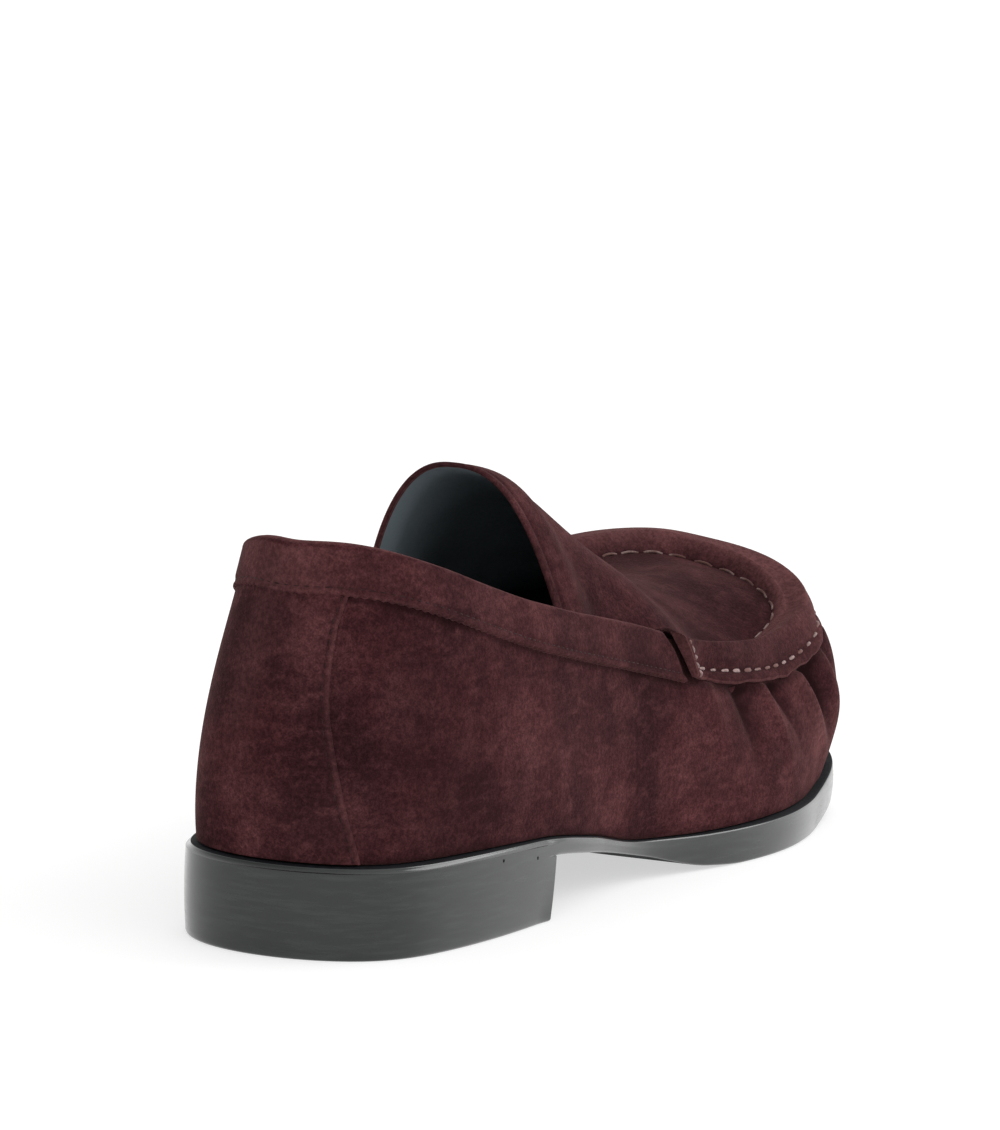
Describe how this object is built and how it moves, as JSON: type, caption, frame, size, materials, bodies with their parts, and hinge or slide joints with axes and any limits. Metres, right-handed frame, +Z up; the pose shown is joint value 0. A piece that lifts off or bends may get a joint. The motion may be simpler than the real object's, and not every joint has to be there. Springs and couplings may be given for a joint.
{
  "type": "suede loafer",
  "caption": "Low suede slip-on shoe for the right foot, with a raised apron seam, high tongue, bound top line and a flat sole with a low heel.",
  "frame": {"origin": "on the floor under the middle of the shoe's box", "axes": "+X from heel to toe, +Y to the medial side of the right foot, +Z up"},
  "size_m": [0.2618, 0.089, 0.0932],
  "materials": {
    "suede": "oxblood suede with a short soft nap, matt and blotchy",
    "sole_edge": "black dyed sole edge, satin",
    "lining": "smooth near-black lining"
  },
  "bodies": {
    "root": {"outsole": "sole_edge", "heel": "sole_edge", "insole": "lining", "upper": "suede", "collar_band": "suede", "apron_strip": "suede", "back_counter": "suede"}
  },
  "joints": []
}
